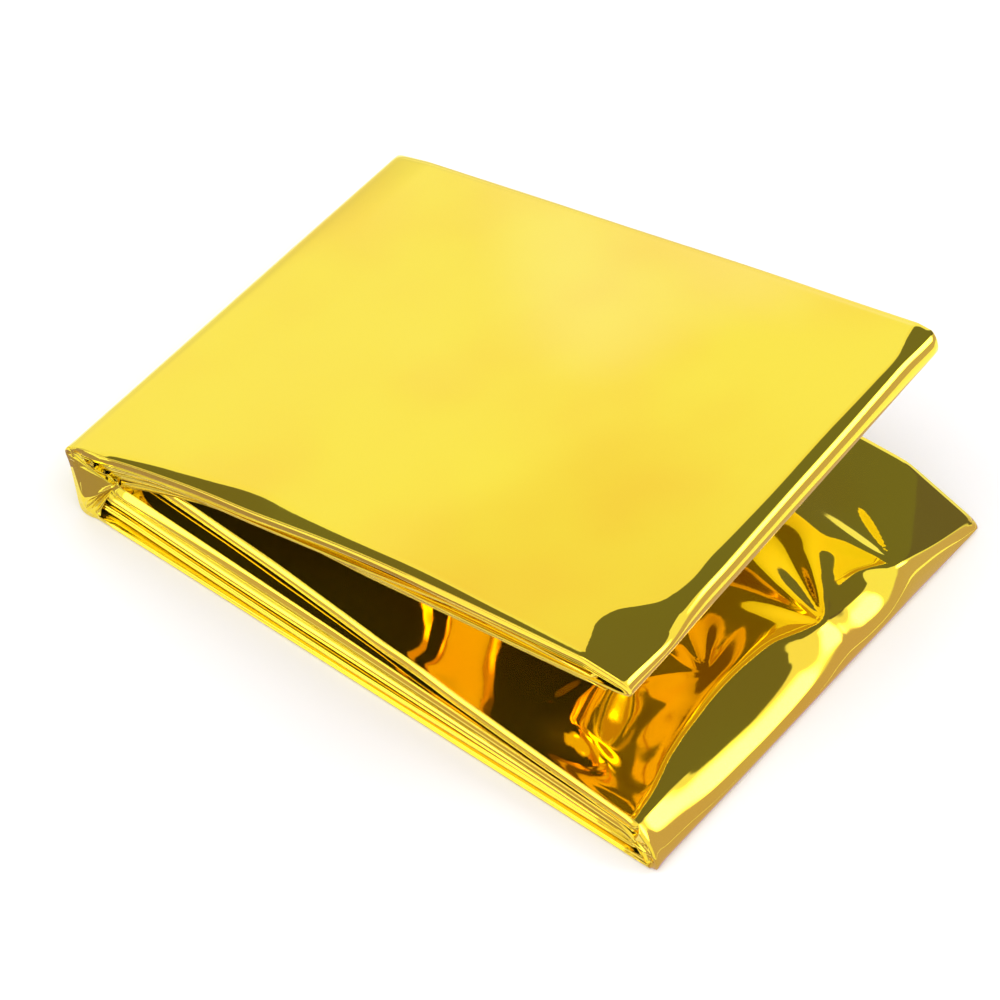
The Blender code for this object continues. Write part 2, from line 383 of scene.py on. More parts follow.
    # Ripples along the strip: the height of each wave, and its radians from one knot to the next
    lip_ripples: tuple[tuple[float, float], ...] = ((0.16, 0.12), (0.12, 0.05))
    wall_creases: tuple[tuple[float, float], ...] = ((0.8, 0.68), (0.35, 1.61))
    ripple_shift: float = 1.7  # radians from one wrap's ripples to the next wrap's
    thin_ends: tuple[float, ...] = (0.25, 0.75, 1.0)  # share of its thickness at the strip's first knots
    # The folded front edge: how far its lower lip bulges, points along each lip, and how soon it flattens
    lip_bulge: float = 0.30
    lip_points: int = 11
    edge_reach: float = 1.6

    def __post_init__(self) -> None:
        """Set out the wraps in the order in which the film passes through them."""
        none = (0.0,) * 5
        self.wraps = (
            Wrap(4, 2.0, (7.6, 6.3, 4.4, 2.4, 0.9), (1.0, 0.6, 0.1, -0.4, -0.5),
                 (3.4, 4.2, 2.2, 1.4, 1.2), (1.2, 1.0, 1.4, 1.2, 1.0),
                 (0.8, 1.0, 0.9, 0.9, 0.8), (0.3, 0.9, 0.5, 0.4, 0.4),
                 ((0.70, 30), (1.0, 62)), ((0.8, 28), (1.0, 8)), 12, 0.2, 0.2),
            Wrap(0, 8.0, none, none, none, none,
                 (0.25, 0.3, 0.3, 0.25, 0.3), (0.5, 0.7, 0.75, 0.75, 0.6),
                 ((1.0, 20),), ((0.12, 10), (0.84, 40), (1.0, 30)), 56, upper_lip=0.06),
            Wrap(3, 2.6, (3.0, 2.6, 2.0, 1.2, 0.4), (0.4, 0.4, 0.4, 0.6, 29.0),
                 (3.2, 2.6, 1.4, 0.5, 0.6), (0.6, 0.8, 1.0, 1.2, 1.4), (1.2, 0.95, 0.75, 0.65, 0.6),
                 lower_lip=0.12, roundness=0.12),
            Wrap(1, 4.4, (1.5, 0.9, 0.5, 0.8, 1.0), (1.2, 0.8, 1.0, 1.2, 29.0),
                 (1.5, 0.9, 1.3, 0.9, 1.2), (1.0, 0.4, 0.2, 0.6, 0.4), (0.1, 0.0, 0.15, 0.1, 0.2)),
            Wrap(2, 3.4, (2.3, 1.6, 1.3, 0.9, 0.7), (0.4, 0.6, 0.2, 0.4, 29.0),
                 (2.4, 1.2, 0.6, 1.4, 0.6), (0.2, 0.6, 0.8, 0.4, 0.8), (0.9, 1.0, 0.8, 0.6, 0.5),
                 lower_lip=0.3),
        )

    def corner_drop(self, x: np.ndarray, y: np.ndarray) -> np.ndarray:
        """How far the pressed back corner lies below the flap.

        Args:
            x: X of places on the flap.
            y: Y of the same places.

        Returns:
            The drop at each, in millimetres.
        """
        (start_x, start_y), (end_x, end_y) = self.corner_line
        length = math.hypot(end_x - start_x, end_y - start_y)
        past = ((x - start_x) * (start_y - end_y) + (y - start_y) * (end_x - start_x)) / length
        return self.corner_slope * soft_ramp(past, self.corner_softness)

    def lower_height(self, depth: int, x: np.ndarray, y: np.ndarray) -> np.ndarray:
        """Height of a layer's middle in the lower flap. The lowest layer is flat on the table.

        Args:
            depth: the layer, counted from the table.
            x: X of places on it.
            y: Y of the same places.

        Returns:
            The height at each, in millimetres.
        """
        size = self.sizes
        swell = self.swell * np.sin(np.pi * np.clip(x / self.swell_length, 0, 1))
        swell = swell * np.sin(np.pi * np.clip(y / self.swell_width, 0, 1))
        height = size.lower_level(depth) + swell * (depth / size.last) ** 1.5
        if depth < size.last:
            return height
        start = along_table(self.fall_rows, self.fall_start, y)
        fall = self.fall_slope * soft_ramp(x - start, self.fall_softness)
        for fan in self.fans:
            height = height + fan.height(x, y)
        height = height + self.waves.height(x, y) + self.wrinkle.shape(x, y)
        return height - fall - self.corner_drop(x, y)

    def lower_end(self, depth: int, y: np.ndarray) -> np.ndarray:
        """Where a layer's run stops at the lower flap's open end.

        Args:
            depth: the layer, counted from the table.
            y: Y of places across the strip.

        Returns:
            X of its end at each of them.
        """
        if depth == 0:
            return np.full_like(y, self.sizes.lower_end)
        if depth == self.sizes.last:
            return along_table(self.fall_rows, self.ridge_line, y)
        start = along_table(self.fall_rows, self.fall_start, y)
        end = start - self.inner_setback + (self.sizes.last - 1 - depth) * self.inner_step
        return np.minimum(end, self.inner_limit)

    def lower_run(self, wrap: Wrap, share: float, y: np.ndarray) -> tuple[np.ndarray, np.ndarray]:
        """X and Z on a wrap's run in the lower flap."""
        x = blend(self.sizes.hinge, self.lower_end(wrap.depth, y), share)
        return x, self.lower_height(wrap.depth, x, y)

    def lower_roll(self, knot: Knot, y: np.ndarray) -> tuple[np.ndarray, np.ndarray]:
        """The lower flap's rolled end, from its upper layer down to its lower one.

        Args:
            knot: a knot on the roll.
            y: Y of places across the strip.

        Returns:
            X and Z of the film's middle.
        """
        top_x, top_z = self.lower_run(knot.wrap, 1.0, y)
        low_x, low_z = self.lower_run(knot.next_wrap, 1.0, y)
        down = knot.share
        if knot.wrap.depth == self.sizes.last:
            out = read_table(self.roll_shares, self.roll_out, down)
            fallen = read_table(self.roll_shares, self.roll_down, down)
            end = blend(self.roll_end, low_x, ease((down - self.roll_tail) / (1.0 - self.roll_tail)))
            return blend(top_x, end, out), blend(top_z, low_z, fallen)
        turn = math.pi * down
        down = (1.0 - math.cos(turn)) / 2.0
        return blend(top_x, low_x, down) + self.lower_bulge * math.sin(turn), blend(top_z, low_z, down)

    def turned(self, along: np.ndarray, above: np.ndarray, turn: np.ndarray) -> tuple[np.ndarray, np.ndarray]:
        """X and Z of points given from the hinge line and turned up about it."""
        cosine, sine, hinge = np.cos(turn), np.sin(turn), self.sizes.hinge
        return hinge + along * cosine - above * sine, hinge + along * sine + above * cosine

    def rise(self, y: np.ndarray) -> np.ndarray:
        """How far the upper flap is turned up, in radians."""
        across = np.clip(y / self.sizes.spine_length, 0.0, 1.0)
        return np.radians(blend(self.sizes.rise_front, self.sizes.rise_back, across))

    def upper_radius(self, depth: int, share: float) -> float:
        """Distance of a layer's middle above the hinge line.

        Args:
            depth: the layer, counted from the outermost.
            share: share of the way along the upper flap.

        Returns:
            The distance, in millimetres.
        """
        size = self.sizes
        pitch = blend(size.upper_pitch_spine, size.upper_pitch_open, share)
        return size.spine_slack + size.layer / 2 + (size.last - depth) * pitch

    def spine_turn(self, wrap: Wrap, share: float, y: np.ndarray) -> tuple[np.ndarray, np.ndarray]:
        """A wrap's way round the spine, from the lower flap to the upper.

        Args:
            wrap: the wrap.
            share: share of the way round.
            y: Y of places across the strip.

        Returns:
            X and Z of the film's middle.
        """
        size = self.sizes
        below = size.hinge - size.lower_level(wrap.depth)
        eased = float(ease(share))
        radius = blend(below, self.upper_radius(wrap.depth, 0.0), eased)
        angle = math.pi * (1.5 - share)
        power = 2.0 / wrap.squareness
        across = -(abs(math.cos(angle)) ** power) * radius
        above = math.copysign(abs(math.sin(angle)) ** power, math.sin(angle)) * radius
        return self.turned(across, above, self.rise(y) * eased)

    def upper_end(self, depth: int, y: np.ndarray) -> np.ndarray:
        """Where a layer's run stops in the upper flap.

        Args:
            depth: the layer, counted from the outermost.
            y: Y of places across the strip.

        Returns:
            Its length from the hinge line.
        """
        size = self.sizes
        across = np.clip(y / size.spine_length, 0.0, 1.0)
        roll = (self.upper_radius(0, 1.0) - self.upper_radius(3, 1.0) + size.layer) / 2
        end = blend(size.upper_front, size.upper_back, across) - self.upper_radius(0, 0.0)
        return end - size.layer / 2 - roll + self.upper_ends[depth]

    def upper_front_line(self, share: float) -> float:
        """Y of the upper flap's front edge, before its layers' own setbacks."""
        return self.sizes.upper_skew_front * share + self.front_bow * math.sin(math.pi * share**0.6)

    def upper_shape(self, share: float, along: np.ndarray, y: np.ndarray, depth: int) -> np.ndarray:
        """Dome, arch, drooping edges and slight waves of the upper flap, above its straight run.

        Args:
            share: share of the way along the flap.
            along: the same way, from the hinge line.
            y: Y of places across the strip.
            depth: the layer, counted from the outermost.

        Returns:
            How far each place is lifted, in millimetres.
        """
        across = np.clip(y / self.sizes.spine_length, 0.0, 1.0)
        middle = math.sin(math.pi * share)
        shape = self.dome * middle**2 * np.sin(np.pi * across) * (1 - depth / 8)
        shape = shape + self.front_arch * middle * (1 - across) ** 2
        width = read_table(self.hang_rows, self.hang_widths, share)
        outside = self.upper_front_line(share) + width - y
        shape = shape - self.hang_slope * (1 - depth / 5) * soft_ramp(outside, self.hang_softness)
        if depth == self.sizes.last:
            inner = ease((y - self.upper_front_line(share) - 4.0) / 9.0) * ease((along - 14.0) / 20.0)
            below = self.under_wave * np.sin(along / 6.2 + y / 9.0)
            return shape + below * inner * ease((1.0 - share) / 0.1)
        if depth:
            return shape
        start = along_table(self.droop_rows, self.droop_start, y)
        slope = np.interp(y, self.droop_rows, self.droop_slope)
        shape = shape - slope * soft_ramp(along - start, self.droop_softness)
        waves = self.top_wave * np.sin(along / 9.0 + y / 17.0) * np.sin(y / 11.0 + 0.6)
        return shape + waves * middle

    def upper_run(self, wrap: Wrap, share: float, y: np.ndarray) -> tuple[np.ndarray, np.ndarray]:
        """A wrap's run in the upper flap.

        Args:
            wrap: the wrap.
            share: share of the way along it.
            y: Y of places across the strip.

        Returns:
            X and Z of the film's middle.
        """
        along = self.upper_end(wrap.depth, y) * share
        above = self.upper_radius(wrap.depth, share) + self.upper_shape(share, along, y, wrap.depth)
        return self.turned(along, above, self.rise(y))

    def upper_roll(self, knot: Knot, y: np.ndarray) -> tuple[np.ndarray, np.ndarray]:
        """The upper flap's rolled end, from its upper layer down to its lower one.

        Args:
            knot: a knot on the roll.
            y: Y of places across the strip.

        Returns:
            X and Z of the film's middle.
        """
        top, low = self.upper_end(knot.wrap.depth, y), self.upper_end(knot.next_wrap.depth, y)
        high = self.upper_radius(knot.wrap.depth, 1.0) + self.upper_shape(1.0, top, y, knot.wrap.depth)
        deep = self.upper_radius(knot.next_wrap.depth, 1.0)
        deep = deep + self.upper_shape(1.0, low, y, knot.next_wrap.depth)
        if knot.wrap.depth:
            turn = math.pi * knot.share
            along = blend(top, low, knot.share) + self.upper_bulge * math.sin(turn)
            return self.turned(along, blend(high, deep, (1 - math.cos(turn)) / 2), self.rise(y))
        reach = read_table(self.nose_shares, self.nose_reach, knot.share)
        drop = read_table(self.nose_shares, self.nose_drop, knot.share)
        turned_in = ease((knot.share - self.nose_tail) / (1.0 - self.nose_tail))
        along = top + reach + (low - top - self.nose_reach[-1]) * turned_in
        return self.turned(along, blend(high, deep, drop), self.rise(y))

    def middle(self, knot: Knot, y: np.ndarray) -> tuple[np.ndarray, np.ndarray]:
        """The film's middle at a knot.

        Args:
            knot: the knot.
            y: Y of places across the strip.

        Returns:
            X and Z at each of them.
        """
        if knot.place is Place.LOWER:
            return self.lower_run(knot.wrap, knot.share, y)
        if knot.place is Place.LOWER_ROLL:
            return self.lower_roll(knot, y)
        if knot.place is Place.SPINE:
            return self.spine_turn(knot.wrap, knot.share, y)
        if knot.place is Place.UPPER:
            return self.upper_run(knot.wrap, knot.share, y)
        return self.upper_roll(knot, y)

    def lower_edges(self, wrap: Wrap, share: float) -> tuple[float, ...]:
        """The edges of a layer in the lower flap.

        Args:
            wrap: the layer's wrap.
            share: share of the way along it.

        Returns:
            The first seven values of a profile.
        """
        size, rows = self.sizes, self.sizes.edge_rows_lower
        front = read_table(rows, wrap.lower_front, share) + size.lower_skew_front * share
        back = size.spine_length - float(np.interp(share, rows, wrap.lower_back))
        back += size.lower_skew_back * share
        slant = read_table(rows, wrap.lower_slant, share)
        tall = size.lower_tall * size.lower_pitch
        return front, back, slant, tall, tall, wrap.lower_lip, wrap.roundness

    def upper_edges(self, wrap: Wrap, share: float) -> tuple[float, ...]:
        """The edges of a layer in the upper flap.

        Args:
            wrap: the layer's wrap.
            share: share of the way along it.

        Returns:
            The first seven values of a profile.
        """
        size, rows = self.sizes, self.sizes.edge_rows_upper
        front = read_table(rows, wrap.upper_front, share) + self.upper_front_line(share)
        back = read_table(rows, wrap.upper_back, share) - size.upper_skew_back * share
        slant = read_table(rows, wrap.upper_slant, share)
        tall = size.upper_tall * blend(size.upper_pitch_spine, size.upper_pitch_open, share)
        crown = tall if wrap.depth else self.layer / 2
        return front, size.spine_length - back, slant, tall, crown, wrap.upper_lip, size.upper_roundness

    def profile(self, knot: Knot) -> Profile:
        """The film's edges at a knot.

        Args:
            knot: the knot.

        Returns:
            Its profile, mixed from both layers on a bend.
        """
        if knot.place is Place.LOWER:
            return Profile(*self.lower_edges(knot.wrap, knot.share), 0.0)
        if knot.place is Place.UPPER:
            return Profile(*self.upper_edges(knot.wrap, knot.share), 0.0)
        if knot.place is Place.SPINE:
            first, second = self.lower_edges(knot.wrap, 0.0), self.upper_edges(knot.wrap, 0.0)
        elif knot.place is Place.LOWER_ROLL:
            first, second = self.lower_edges(knot.wrap, 1.0), self.lower_edges(knot.next_wrap, 1.0)
        else:
            first, second = self.upper_edges(knot.wrap, 1.0), self.upper_edges(knot.next_wrap, 1.0)
        mixed = [float(blend(low, high, knot.share)) for low, high in zip(first, second)]
        ends = float(ease(knot.share / self.tuck_ends) * ease((1.0 - knot.share) / self.tuck_ends))
        if knot.place is Place.SPINE and knot.wrap.depth == 0:
            return Profile(*mixed, ends, self.spine_tuck, self.spine_tuck_depth)
        if knot.place is Place.LOWER_ROLL and knot.wrap.depth == self.sizes.last:
            return Profile(*mixed, ends, self.roll_tuck, self.roll_tuck_depth)
        return Profile(*mixed, 0.0)

    def knots(self) -> list[Knot]:
        """Set out the knots of the whole strip.

        Returns:
            The knots, from the strip's end under the upper flap to its end in the lower one.
        """
        strip: list[Knot] = []
        for index, wrap in enumerate(self.wraps):
            lower = [Knot(Place.LOWER, wrap, share) for share in self.shares(wrap.lower_stops)[1:]][::-1]
            spine = [Knot(Place.SPINE, wrap, share) for share in np.linspace(0, 1, wrap.spine_steps + 1)]
            upper = [Knot(Place.UPPER, wrap, share) for share in self.shares(wrap.upper_stops)[1:]]
            run = lower + spine + upper
            downwards = index % 2 == 0
            if index:
                place = Place.UPPER_ROLL if downwards else Place.LOWER_ROLL
                before, steps = self.wraps[index - 1], self.roll_steps[index]
                strip += [Knot(place, before, step / steps, wrap) for step in range(1, steps)]
            strip += run[::-1] if downwards else run
        return strip

    @staticmethod
    def shares(stops: tuple[tuple[float, int], ...]) -> list[float]:
        """Divide a run at the fineness of each of its stretches.

        Args:
            stops: for each stretch, the share that it reaches and its steps.

        Returns:
            Shares of the run, from 0 to 1.
        """
        found, at = [0.0], 0.0
        for reached, steps in stops:
            found += list(np.linspace(at, reached, steps + 1)[1:])
            at = reached
        return found

    def section(self, edge: Profile, ripple: float) -> tuple[np.ndarray, np.ndarray, np.ndarray]:
        """The film's outline across the strip.

        Args:
            edge: the film's edges.
            ripple: how far the lower of the two folds in its front edge stands back.

        Returns:
            Y of each point, its offset along the film's normal, and how far it is drawn to the tuck's centre.
        """
        half, bulge, reach = self.layer / 2, self.lip_bulge, self.edge_reach
        near = np.array([0.0, 0.3, 0.7, 1.2, 1.8, 2.5, 3.4])
        start, end = edge.front + bulge * 0.5 + edge.slant, edge.back - half
        low_start = edge.front + bulge + max(0.0, ripple)
        top = np.concatenate([start + near, np.linspace(start + 4.1, end - 1.0, self.stations)])
        far = np.linspace(end - 0.6, low_start + 4.0, self.hidden_stations)
        hidden = np.concatenate([far, low_start + near[4:0:-2]])
        top_half = half + (edge.crown - half) * np.exp(-(((top - start) / reach) ** 2))
        hidden_half = half + (edge.tall - half) * np.exp(-(((hidden - low_start) / reach) ** 2))
        back_turn = np.radians([75, 38, 0, -38, -75])
        lip = np.radians(np.linspace(-80, 80, self.lip_points))
        low_y = low_start - bulge * np.cos(lip)
        low_offset = edge.tall * (edge.lip - 1.0 + edge.lip * np.sin(lip))
        climb = (np.sin(lip) + 1.0) / 2.0
        high_y = edge.front + 0.3 + edge.slant * climb - edge.roundness * np.cos(lip)
        high_offset = blend(edge.tall * (2.0 * edge.lip - 1.0), edge.crown, climb)
        drawn = np.linspace(0.0, 1.0, self.lip_points)
        wall_y = edge.front + 0.1 + edge.depth * drawn**0.8
        wall_offset = edge.crown * 0.9 * (1.0 - drawn) ** 6
        tuck = edge.tuck
        low_y = blend(low_y, wall_y + 0.4, tuck)
        low_offset = blend(low_offset, -wall_offset, tuck)
        high_y = blend(high_y, wall_y[::-1], tuck)
        high_offset = blend(high_offset, wall_offset[::-1], tuck)
        free = np.zeros(len(top) + len(back_turn) + len(hidden))
        pull = np.concatenate([free, drawn * tuck, drawn[::-1] * tuck])
        ys = np.concatenate([top, end + half * np.cos(back_turn), hidden, low_y, high_y])
        offsets = np.concatenate([top_half, half * np.sin(back_turn), -hidden_half, low_offset, high_offset])
        return ys, offsets, 0.97 * pull

    def points(self) -> np.ndarray:
        """Work out the film's surface.

        Returns:
            For each knot, a closed outline of points, in millimetres.
        """
        strip = self.knots()
        rows = []
        (lip_high, lip_pace), (lip_low, lip_slow) = self.lip_ripples
        (crease_high, crease_pace), (crease_low, crease_quick) = self.wall_creases
        step = 0.05
        for index, knot in enumerate(strip):
            before, after = strip[max(index - 1, 0)], strip[min(index + 1, len(strip) - 1)]
            edge = self.profile(knot)
            ripple = lip_high * math.sin(index * lip_pace + knot.wrap.depth * self.ripple_shift)
            ripple += lip_low * math.sin(index * lip_slow)
            y, offset, pull = self.section(edge, ripple)
            if edge.tuck:
                crease = crease_high * math.sin(index * crease_pace)
                crease += crease_low * math.sin(index * crease_quick)
                y = y + crease * pull * (1.5 - pull)
            ends = min(index, len(strip) - 1 - index)
            offset = offset * self.thin_ends[min(ends, 2)]
            x, z = self.middle(knot, y)
            (x0, z0), (x1, z1) = self.middle(before, y), self.middle(after, y)
            (xa, za), (xb, zb) = self.middle(knot, y - step), self.middle(knot, y + step)
            run_x, run_z = x1 - x0, z1 - z0
            side_x, side_z = (xb - xa) / (2 * step), (zb - za) / (2 * step)
            normal = np.stack([-run_z, run_z * side_x - run_x * side_z, run_x], axis=1)
            normal /= np.linalg.norm(normal, axis=1, keepdims=True)
            place = np.stack([x, y, z], axis=1) + normal * offset[:, None]
            place[:, 0] = blend(place[:, 0], edge.centre[0], pull)
            place[:, 2] = blend(place[:, 2], edge.centre[1], pull)
            rows.append(place)
        return np.array(rows)

    def build(self) -> bpy.types.Object:
        """Model the film as a grid that is wrapped round its outline and closed.

        Returns:
            The finished piece, with its place in its mesh.
        """
        points = self.points() - TABLE_CORNER
        knots, around = points.shape[:2]
        bpy.ops.object.select_all(action="DESELECT")
        bpy.ops.mesh.primitive_grid_add(x_subdivisions=knots - 1, y_subdivisions=around, size=1.0)
        piece = bpy.context.object
        piece.name = piece.data.name = self.name
        wrapped = np.concatenate([points, points[:, :1]], axis=1).transpose(1, 0, 2) * METRES
        piece.data.vertices.foreach_set("co", wrapped.reshape(-1))
        bpy.ops.object.mode_set(mode="EDIT")
        bpy.ops.mesh.select_all(action="SELECT")
        bpy.ops.mesh.remove_doubles(threshold=1e-6)
        bpy.ops.mesh.fill_holes(sides=0)
        bpy.ops.mesh.select_all(action="SELECT")
        bpy.ops.mesh.normals_make_consistent(inside=False)
        bpy.ops.object.mode_set(mode="OBJECT")
        bpy.ops.object.shade_smooth()
        piece.data.update()
        return piece


class Signal:
    """A shader socket whose values can be added, subtracted and multiplied in Python."""

    def __init__(self, graph: "Graph", socket: bpy.types.NodeSocket) -> None:
        """Hold the socket and the graph that it is in."""
        self.graph = graph
        self.socket = socket

    def math(self, operation: str, other: "Signal | float") -> "Signal":
        """Add a Math node on this value and another."""
        return self.graph.node("ShaderNodeMath", {"operation": operation}, {0: self, 1: other})

    def __add__(self, other: "Signal | float") -> "Signal":
        """Add."""
        return self.math("ADD", other)

    def __mul__(self, other: "Signal | float") -> "Signal":
        """Multiply."""
        return self.math("MULTIPLY", other)

    def __sub__(self, other: "Signal | float") -> "Signal":
        """Subtract."""
        return self.math("SUBTRACT", other)


class Graph:
    """A node tree that is written as expressions."""

    def __init__(self, tree: bpy.types.NodeTree) -> None:
        """Start on an empty tree."""
        self.tree = tree
        tree.nodes.clear()

    def node(
        self, kind: str, settings: dict | None = None, inputs: dict | None = None, output: int | str = 0,
    ) -> Signal:
        """Add a node.

        Args:
            kind: the node's type.
            settings: its own properties, set first. A list under "stops" fills a ramp.
            inputs: values or signals for its sockets, by name or number.
            output: which of its sockets is wanted.

        Returns:
            That socket, as a signal.
        """
        node = self.tree.nodes.new(kind)
        for key, value in (settings or {}).items():
            if key == "stops":
                ramp = node.color_ramp
                while len(ramp.elements) < len(value):
                    ramp.elements.new(1.0)
                for element, (place, colour) in zip(ramp.elements, value):
                    element.position, element.color = place, (*colour, 1.0)
            else:
                setattr(node, key, value)
        for key, value in (inputs or {}).items():
            if isinstance(value, Signal):
                self.tree.links.new(value.socket, node.inputs[key])
            else:
                node.inputs[key].default_value = value
        return Signal(self, node.outputs[output] if node.outputs else None)

    def step(self, value: Signal, low: float, high: float) -> Signal:
        """A soft step from 0 at one value to 1 at another."""
        settings = {"interpolation_type": "SMOOTHSTEP"}
        return self.node("ShaderNodeMapRange", settings, {"Value": value, "From Min": low, "From Max": high})

    def mix(self, share: Signal | float, low: Signal | tuple, high: Signal | tuple) -> Signal:
        """Mix two colours."""
        settings = {"data_type": "RGBA", "clamp_factor": True}
        return self.node("ShaderNodeMix", settings, {0: share, 6: low, 7: high}, output=2)

    def facing(self, direction: Signal, axis: tuple[float, float, float]) -> Signal:
        """Compare a direction with an axis.

        Args:
            direction: the direction.
            axis: the axis, of any length.

        Returns:
            Cosine of the angle between them.
        """
        length = math.sqrt(sum(part * part for part in axis))
        unit = tuple(part / length for part in axis)
        settings = {"operation": "DOT_PRODUCT"}
        return self.node("ShaderNodeVectorMath", settings, {0: direction, 1: unit}, output=1)


@dataclass(frozen=True)
class GoldFilm:
    """Finish of the metallised film."""

    colour: tuple[float, float, float] = (0.95, 0.765, 0.035)
    deep_colour: tuple[float, float, float] = (0.945, 0.675, 0.030)
    roughness: float = 0.04
    coat: float = 0.6
    ripple: float = 0.0006
    slot: str = "gold_film"

    def material(self) -> bpy.types.Material:
        """Mirror-bright yellow film with faint ripples and a clear face.

        Returns:
            The material.
        """
        material = bpy.data.materials.new("gold_film_finish")
        material.use_nodes = True
        graph = Graph(material.node_tree)
        place = graph.node("ShaderNodeTexCoord", output="Object")
        broad = graph.node("ShaderNodeTexNoise", {}, {"Vector": place, "Scale": 26.0, "Detail": 2.0})
        fine = graph.node(
            "ShaderNodeTexNoise", {}, {"Vector": place, "Scale": 210.0, "Detail": 3.0, "Roughness": 0.45})
        height = broad * 0.8 + fine * 0.06
        bump = graph.node("ShaderNodeBump", {}, {"Strength": 0.25, "Distance": self.ripple, "Height": height})
        colour = graph.mix(graph.step(broad, 0.35, 0.75), (*self.colour, 1.0), (*self.deep_colour, 1.0))
        shine = graph.step(fine, 0.3, 0.8) * 0.02 + self.roughness
        shader = graph.node(
            "ShaderNodeBsdfPrincipled", {},
            {"Base Color": colour, "Metallic": 0.98, "Roughness": shine, "Normal": bump,
             "Specular IOR Level": 0.5, "Coat Weight": self.coat, "Coat Roughness": 0.03, "Coat IOR": 1.5},
        )
        graph.node("ShaderNodeOutputMaterial", {}, {"Surface": shader})
        return material


@dataclass(frozen=True)
class Glow:
    """A round patch of the surroundings: where it lies, its half angle and its colour."""

    toward: tuple[float, float, float]
    half_angle: float
    colour: tuple[float, float, float]
    softness: float = 2.0  # degrees


def bearing(azimuth: float, height: float) -> tuple[float, float, float]:
    """Direction at an azimuth from +X and a height above the horizon, both in degrees."""
    turn, climb = math.radians(azimuth), math.radians(height)
    return math.cos(climb) * math.cos(turn), math.cos(climb) * math.sin(turn), math.sin(climb)


@dataclass(frozen=True)
class Card:
    """A dim glowing card on the floor that only the film mirrors, painted shade of the floor near the film:
    its middle and its sides in metres, and its turn in degrees.
    """

    name: str
    colour: tuple[float, float, float]
    place: tuple[float, float]
    size: tuple[float, float]
    turn: float


